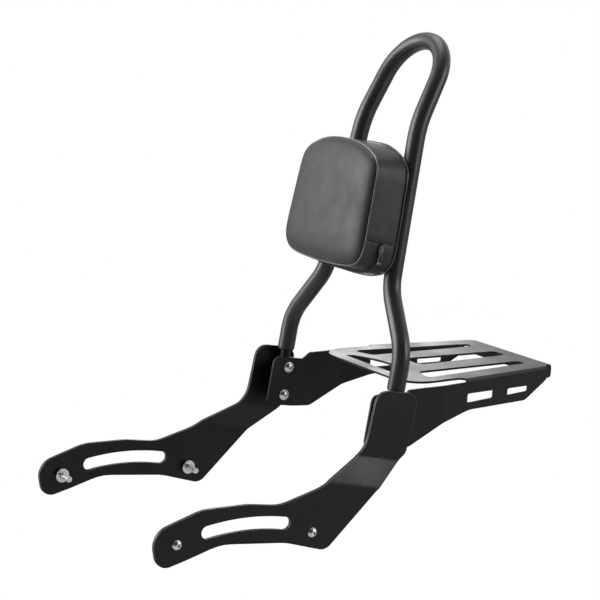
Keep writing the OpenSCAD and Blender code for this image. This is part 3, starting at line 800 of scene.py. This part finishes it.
def outward_normals(thing):
    """Joins points that meet and turns every face outwards."""
    work = bmesh.new()
    work.from_mesh(thing.data)
    bmesh.ops.remove_doubles(work, verts=work.verts, dist=1e-6)
    bmesh.ops.recalc_face_normals(work, faces=work.faces)
    work.to_mesh(thing.data)
    work.free()


# The front panel's rings as shares of its seam, and how far its middle stands out
PANEL_SHARES = (0.06, 0.14, 0.22, 0.30, 0.38, 0.46, 0.54, 0.62, 0.70, 0.78, 0.85, 0.91, 0.945, 0.972,
                0.99)
PANEL_CROWN = 0.0125
BOXING_STEPS = 11
# The cover dips into its seams, and its edge is turned this far over the board, a little behind it
SEAM_TUCK = 0.0008
TURNED_OVER = (0.004, 0.008, 0.0105)
TURNED_BEHIND = 0.0012


def pad_cover():
    """The cushion's cover before it is blown up: front panel, boxing and the edge turned over the board."""
    rings, held = [], []
    for share in PANEL_SHARES:
        lift = PANEL_CROWN * (1 - share ** 6) ** 0.5
        rings.append(towards_middle(FRONT_SEAM, share, SEAM_FRONT - lift))
    held.append(len(rings))
    rings.append(shrunk(FRONT_SEAM, SEAM_TUCK, SEAM_FRONT))
    for k in range(1, BOXING_STEPS):
        rings.append(between(FRONT_SEAM, BACK_SEAM, k / BOXING_STEPS))
    held.append(len(rings))
    rings.append(shrunk(BACK_SEAM, SEAM_TUCK, SEAM_BACK))
    for d in TURNED_OVER:
        held.append(len(rings))
        rings.append(shrunk(BACK_SEAM, d, SEAM_BACK + TURNED_BEHIND))
    return cover_mesh("backrest_cushion", rings), rings, held


# The cushion's cover

CLOTH_FRAMES = 20
SMOOTHING_PASSES = 40
MOST_SWELL = 0.0045


def blow_up(thing, held, cap):
    """Cloth under pressure, held at its seams and drawn taut; no point moves further than cap."""
    rest = [v.co.copy() for v in thing.data.vertices]
    fixed = [r * ROUND + i for r in held for i in range(ROUND)]
    pins = thing.vertex_groups.new(name="seams")
    pins.add(fixed, 1.0, "REPLACE")
    cloth = thing.modifiers.new("inflate", "CLOTH")
    cloth.settings.quality = 6
    cloth.settings.mass = 0.25
    cloth.settings.tension_stiffness = 20
    cloth.settings.compression_stiffness = 20
    cloth.settings.shear_stiffness = 8
    cloth.settings.bending_stiffness = 5
    cloth.settings.use_pressure = True
    cloth.settings.uniform_pressure_force = 4
    cloth.settings.vertex_group_mass = "seams"
    cloth.settings.effector_weights.gravity = 0
    cloth.collision_settings.use_collision = False
    scene = bpy.context.scene
    for step in range(1, CLOTH_FRAMES + 1):
        scene.frame_set(step)
    shaped = thing.evaluated_get(bpy.context.evaluated_depsgraph_get()).data
    moved = [v.co.copy() for v in shaped.vertices]
    thing.modifiers.remove(cloth)
    scene.frame_set(1)
    swell = [b - a for a, b in zip(rest, moved)]
    near = [[] for _ in rest]
    for a, b in (e.vertices for e in thing.data.edges):
        near[a].append(b)
        near[b].append(a)
    still = set(fixed)
    for _ in range(SMOOTHING_PASSES):
        swell = [d if i in still else (d + sum((swell[k] for k in near[i]), Vector())) / (1 + len(near[i]))
                 for i, d in enumerate(swell)]
    for v, a, d in zip(thing.data.vertices, rest, swell):
        far = d.length
        v.co = a + d * (cap * math.tanh(far / cap) / far) if far > 1e-9 else a


cover, cover_rings, held_rings = pad_cover()
blow_up(cover, held_rings, MOST_SWELL)
cover.data.update()
COVER = [v.co.copy() for v in cover.data.vertices]
FRONT_RING = held_rings[0]
BACK_RING = held_rings[1]


def cover_point(ring, at, out=0.0):
    """A place on the cover at a fractional ring and a fractional step round it, raised by out."""
    r0, a0 = int(math.floor(ring)), int(math.floor(at))
    fr, fa = ring - r0, at - a0

    def corner(r, a):
        return COVER[min(r, BACK_RING) * ROUND + a % ROUND]
    front = corner(r0, a0).lerp(corner(r0, a0 + 1), fa)
    behind = corner(r0 + 1, a0).lerp(corner(r0 + 1, a0 + 1), fa)
    p = front.lerp(behind, fr)
    along = corner(r0, a0 + 1) - corner(r0, a0)
    across = corner(r0 + 1, a0) - corner(r0, a0)
    normal = across.cross(along).normalized()
    if normal.dot(p - PAD_CENTRE) < 0:
        normal.negate()
    return p + normal * out, normal


def step_at_height(z, side):
    """The step round the rings whose rest place has this local height on one side."""
    ring = between(FRONT_SEAM, BACK_SEAM, 0.5)
    return min((i for i in range(ROUND) if ring[i].y * side > 0), key=lambda i: abs(ring[i].z - z))


CROSS_SEAM_HEIGHT = 0.061
MID_RING = (FRONT_RING + BACK_RING) / 2
NEAR_STEP = step_at_height(CROSS_SEAM_HEIGHT, -1)
FAR_STEP = step_at_height(CROSS_SEAM_HEIGHT, 1)
ZIP_FROM, ZIP_TO = sorted((NEAR_STEP, FAR_STEP))


# Puckers lie this many steps apart along the seams; the rest are depths in metres
PUCKER_STEPS = 2.9
PUCKER_DEPTH = 0.00018
FOLD_DEPTH = 0.0032
FINE_FOLD_DEPTH = 0.0008
CROSS_SEAM_DEPTH = 0.0012


def pucker(step):
    """The gathers that the thread pulls into cover and piping, from -1 to 1."""
    return math.sin(step * 2 * math.pi / PUCKER_STEPS)


def folds_at(p):
    """Soft folds that run from front to back in the lower boxing."""
    broad = noise.noise(Vector((p.x * 55, p.y * 38, p.z * 38)) + Vector((3.1, 0, 0)))
    fine = noise.noise(Vector((p.x * 140, p.y * 90, p.z * 90)))
    return broad * FOLD_DEPTH + fine * FINE_FOLD_DEPTH


def crease_cover():
    """Puckers beside the seams, the cross seams and soft folds in the lower boxing."""
    for r in range(FRONT_RING - 3, BACK_RING + 1):
        if r in held_rings:
            continue
        beside = min(abs(r - FRONT_RING), abs(r - BACK_RING))
        for i in range(ROUND):
            height = pucker(i) * PUCKER_DEPTH / beside
            if r > FRONT_RING:
                height -= CROSS_SEAM_DEPTH * sum(max(0, 1 - abs(i - s)) for s in (NEAR_STEP, FAR_STEP))
                if ZIP_FROM < i < ZIP_TO:
                    height += folds_at(cover_rings[r][i])
            _, normal = cover_point(min(r, BACK_RING - 1), i)
            v = cover.data.vertices[r * ROUND + i]
            v.co = v.co + normal * height


crease_cover()
cover.data.update()
COVER = [v.co.copy() for v in cover.data.vertices]
for face in cover.data.polygons:
    face.use_smooth = True
cover.data.materials.append(HIDE)
rounder = cover.modifiers.new("rounded_cover", "SUBSURF")
rounder.levels = rounder.render_levels = 2
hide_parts("pad_cushion")
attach(cover, "root")


SHELL_SHARP_FROM = math.radians(40)


def shell(name, runs, finish, closed=False, sharp=True):
    """Skin over runs of equal rings; each run is one closed body, or a ring of rings where closed."""
    verts, faces = [], []
    for rings in runs:
        n, base = len(rings[0]), len(verts)
        verts += [tuple(v) for ring in rings for v in ring]
        for r in range(len(rings) if closed else len(rings) - 1):
            low, high = base + r * n, base + (r + 1) % len(rings) * n
            faces += [(low + k, low + (k + 1) % n, high + (k + 1) % n, high + k) for k in range(n)]
        if not closed:
            faces.append(tuple(base + k for k in range(n)))
            faces.append(tuple(base + (len(rings) - 1) * n + k for k in range(n))[::-1])
    mesh = bpy.data.meshes.new(name)
    mesh.from_pydata(verts, [], faces)
    mesh.materials.append(finish)
    thing = link_piece(name, mesh)
    outward_normals(thing)
    for face in mesh.polygons:
        face.use_smooth = True
    if sharp:
        mesh.set_sharp_from_angle(angle=SHELL_SHARP_FROM)
    return thing


# The piping cord: its radius, how far its middle stands out of the seam, and its flat sides
WELT_RADIUS = 0.0015
WELT_OUT = 0.0008
WELT_SIDES = 10


def welt(name, ring, node):
    """A piping cord sewn into a seam, a closed tube that follows the seam's own points."""
    points = [COVER[ring * ROUND + i] for i in range(ROUND)]
    turns = [2 * math.pi * k / WELT_SIDES for k in range(WELT_SIDES)]
    rings = []
    for i, p in enumerate(points):
        along = (points[(i + 1) % ROUND] - points[i - 1]).normalized()
        outward = along.cross(PAD_X).normalized()
        if outward.dot(p - PAD_CENTRE) < 0:
            outward.negate()
        swell = WELT_RADIUS * (1 + 0.05 * pucker(i))
        rings.append([p + outward * (WELT_OUT + swell * math.cos(a)) + PAD_X * swell * math.sin(a)
                      for a in turns])
    thing = shell(name, [rings], PIPING, closed=True, sharp=False)
    soft = thing.modifiers.new("rounded_welt", "SUBSURF")
    soft.levels = soft.render_levels = 1
    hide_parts(node)
    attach(thing, "root")


welt("front_welt", FRONT_RING, "front_piping")
welt("rear_welt", BACK_RING, "rear_piping")


# Zipper and stitches

# Places across the boxing are in rings from its middle, places along it in steps from a cross seam
TAPE_PROFILE = [(-0.62, 0.0001), (-0.50, 0.0008), (-0.16, 0.0010), (0, 0.0004), (0.16, 0.0010),
                (0.50, 0.0008), (0.62, 0.0001)]
TAPE_THICK = 0.0012
TAPE_INSET = 0.3
TEETH_ACROSS, TEETH_OUT = 0.14, 0.0014
STITCHES_ACROSS, STITCHES_OUT = 0.8, 0.0011
ROW_INSET = 0.5
SEAM_STITCH_ALONG, SEAM_STITCH_INSET, SEAM_STITCH_OUT = 0.5, 0.6, 0.0003
SEAM_STITCH_POINTS = 24


def cover_line(rings, steps, out):
    """Places on the cover with their outward directions, raised by out."""
    return [cover_point(r, a, out) for r, a in zip(rings, steps)]


def spread(a, b, count):
    """Evenly spaced numbers from a to b."""
    return [a + (b - a) * k / (count - 1) for k in range(count)]


def zipper_tape():
    """Two bands of woven tape sewn under the boxing's cut edges."""
    rings = []
    for a in spread(ZIP_FROM + TAPE_INSET, ZIP_TO - TAPE_INSET, 3 * (ZIP_TO - ZIP_FROM) + 1):
        face = [cover_point(MID_RING + off, a, out)[0] for off, out in TAPE_PROFILE]
        back = [cover_point(MID_RING + off, a, out - TAPE_THICK)[0] for off, out in reversed(TAPE_PROFILE)]
        rings.append(face + back)
    thing = shell("zipper_tape", [rings], TAPE_CLOTH_AND_SEAM_SHADE, sharp=False)
    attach(thing, "root")


zipper_tape()
ROW_POINTS = 4 * (ZIP_TO - ZIP_FROM)
ROW_STEPS = spread(ZIP_FROM + ROW_INSET, ZIP_TO - ROW_INSET, ROW_POINTS)


def zipper_rows(across, out):
    """Two lines along the zipper, one on each side of its middle."""
    return [cover_line([MID_RING + off] * ROW_POINTS, ROW_STEPS, out) for off in (-across, across)]


grown("zipper_teeth", line_mesh("zipper_teeth", zipper_rows(TEETH_ACROSS, TEETH_OUT)), ROW_TREE, NYLON,
      {"Spacing": 0.0018, "Length": 0.0011, "Width": 0.0026, "Height": 0.0018}, ("zipper",))

stitch_runs = zipper_rows(STITCHES_ACROSS, STITCHES_OUT)
for at in (NEAR_STEP, FAR_STEP):
    step = at - SEAM_STITCH_ALONG if at == ZIP_FROM else at + SEAM_STITCH_ALONG
    seam_rings = spread(FRONT_RING + SEAM_STITCH_INSET, BACK_RING - SEAM_STITCH_INSET, SEAM_STITCH_POINTS)
    stitch_runs.append(cover_line(seam_rings, [step] * SEAM_STITCH_POINTS, SEAM_STITCH_OUT))
grown("boxing_stitches", line_mesh("boxing_stitches", stitch_runs), ROW_TREE, THREAD,
      {"Spacing": 0.0034, "Length": 0.0030, "Width": 0.0007, "Height": 0.0007})

# Each bead: its reach from the cross seam in steps, away from the zipper, and its width, height and rise
FOLD_BEAD = (0.20, 0.0012, 0.0009, 0.0004)
# the second bead is a thin strip of dark tape cloth: painted shade in each cross seam's gap
SEAM_SHADE_BEAD = (-0.16, 0.0007, 0.0004, 0.0002)
BEAD_INSET = 0.1
BEAD_RINGS = 26
BEAD_SIDES = 8


def seam_bead(at, reach, wide, high, out):
    """Rings of a flattened bead that crosses the boxing beside a cross seam."""
    above = -1 if at == ZIP_FROM else 1
    turns = [2 * math.pi * k / BEAD_SIDES for k in range(BEAD_SIDES)]
    rings = []
    for r in spread(FRONT_RING + BEAD_INSET, BACK_RING - BEAD_INSET, BEAD_RINGS):
        p, n = cover_point(r, at + reach * above, out)
        q, _ = cover_point(r, at + reach * above + 0.2, out)
        along = (q - p).normalized()
        rings.append([p + along * wide * math.cos(a) + n * high * math.sin(a) for a in turns])
    return rings


# the fold beads are raised cover; the dark tape beads paint the shade in each seam's gap
for name, bead, finish in (("cross_seam_folds", FOLD_BEAD, HIDE), ("cross_seam_painted_shade", SEAM_SHADE_BEAD, TAPE_CLOTH_AND_SEAM_SHADE)):
    seam = shell(name, [seam_bead(at, *bead) for at in (NEAR_STEP, FAR_STEP)], finish)
    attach(seam, "root")

# The slider stands under the near cross seam and its puller hangs from it
PULL_DOWN = pad_place(0, 0, -1) - pad_place(0, 0, 0)
SLIDER_HEIGHT, SLIDER_RAISED = 0.0525, 0.0016
SLIDER_AT, SLIDER_OUT = cover_point(MID_RING, step_at_height(SLIDER_HEIGHT, -1), SLIDER_RAISED)
SLIDER_OUT = (SLIDER_OUT - PULL_DOWN * SLIDER_OUT.dot(PULL_DOWN)).normalized()
PULL_ACROSS = PULL_DOWN.cross(SLIDER_OUT).normalized()


# Rings of the slider and the puller: half width at the top and at the bottom, top, bottom and rise
SLIDER_RINGS = [(2.6, 3.8, -4.5, 4.5, -0.6), (2.9, 4.1, -4.8, 4.8, 0.0), (2.9, 4.1, -4.8, 4.8, 0.9),
                (2.4, 3.5, -4.2, 4.2, 1.5)]
PULLER_OUTSIDE = [(2.4, 3.9, 3.2, 21.8, 2.1), (2.4, 3.9, 3.2, 21.8, 2.9), (2.1, 3.5, 3.6, 21.4, 3.3)]
PULLER_WINDOW = [(1.2, 2.3, 5.0, 18.6, 3.3), (1.0, 2.0, 5.3, 18.2, 3.0), (1.0, 2.0, 5.3, 18.2, 2.1)]
# How square a ring's corners are: 0 is a rectangle and 1 an ellipse
OUTSIDE_CORNERS, WINDOW_CORNERS = 0.45, 0.7
RING_POINTS = 28


def pull_spot(across, down, out):
    """A place on the hanging puller, in millimetres across, down and out from the slider."""
    return SLIDER_AT + (PULL_ACROSS * across + PULL_DOWN * down + SLIDER_OUT * out) * MM


def rounded_ring(wide_top, wide_low, top, low, out, square=OUTSIDE_CORNERS):
    """A rounded ring whose half width changes from top to bottom, in millimetres on the pull."""
    ring = []
    for k in range(RING_POINTS):
        a = 2 * math.pi * k / RING_POINTS
        c, t = math.cos(a), math.sin(a)
        down = (top + low) / 2 + (low - top) / 2 * math.copysign(abs(t) ** square, t)
        wide = wide_top + (wide_low - wide_top) * (down - top) / (low - top)
        ring.append(pull_spot(wide * math.copysign(abs(c) ** square, c), down, out))
    return ring


slider = shell("zipper_slider", [[rounded_ring(*size) for size in SLIDER_RINGS]], ENAMEL)
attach(slider, "root")
pull_rings = [rounded_ring(*size) for size in PULLER_OUTSIDE]
pull_rings += [rounded_ring(*size, square=WINDOW_CORNERS) for size in PULLER_WINDOW]
pull = shell("flat_puller", [pull_rings], ENAMEL, closed=True)
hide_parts("zipper_puller")
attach(pull, "root")

# The bail arches from the slider to the puller's window; places down and out in millimetres
BAIL_START, BAIL_END = (-2.4, 0.8), (5.2, 2.4)
BAIL_MIDDLE, BAIL_REACH, BAIL_RISE = (1.2, 1.3), 3.2, 2.7
BAIL_STEPS = 16
arch = [(BAIL_MIDDLE[0] + BAIL_REACH * math.cos(math.pi * k / BAIL_STEPS),
         BAIL_MIDDLE[1] + BAIL_RISE * math.sin(math.pi * k / BAIL_STEPS)) for k in range(BAIL_STEPS + 1)]
bail = [(pull_spot(0, *place), PULL_ACROSS) for place in [BAIL_START] + arch[::-1] + [BAIL_END]]
grown("slider_bail", line_mesh("slider_bail", [bail]), TUBE_TREE, ENAMEL,
      {"Radius": 0.00065, "Sides": 10})


# Welds on the pad's bars

# Local heights of the bars' middles, half a weld's length, its local x, its inset from the leg's axis,
# how much nearer the legs come to the middle for each metre up, and the spaces along each weld's line
BAR_HEIGHTS = (0.052, 0.142)
WELD_HALF = 0.0125
WELD_X = -0.0085
WELD_INSET = 0.0088
LEGS_CLOSE_IN = 0.0699
WELD_STEPS = 16
weld_runs = []
for z in BAR_HEIGHTS:
    half = SHOULDER_AT.y - z * LEGS_CLOSE_IN - WELD_INSET
    for side in (-1, 1):
        weld_runs.append([(pad_place(WELD_X, side * half, z + d), PAD_X)
                          for d in spread(-WELD_HALF, WELD_HALF, WELD_STEPS + 1)])
grown("bar_welds", line_mesh("bar_welds", weld_runs), ROW_TREE, WELD,
      {"Spacing": 0.0017, "Length": 0.0026, "Width": 0.0042, "Height": 0.0030})
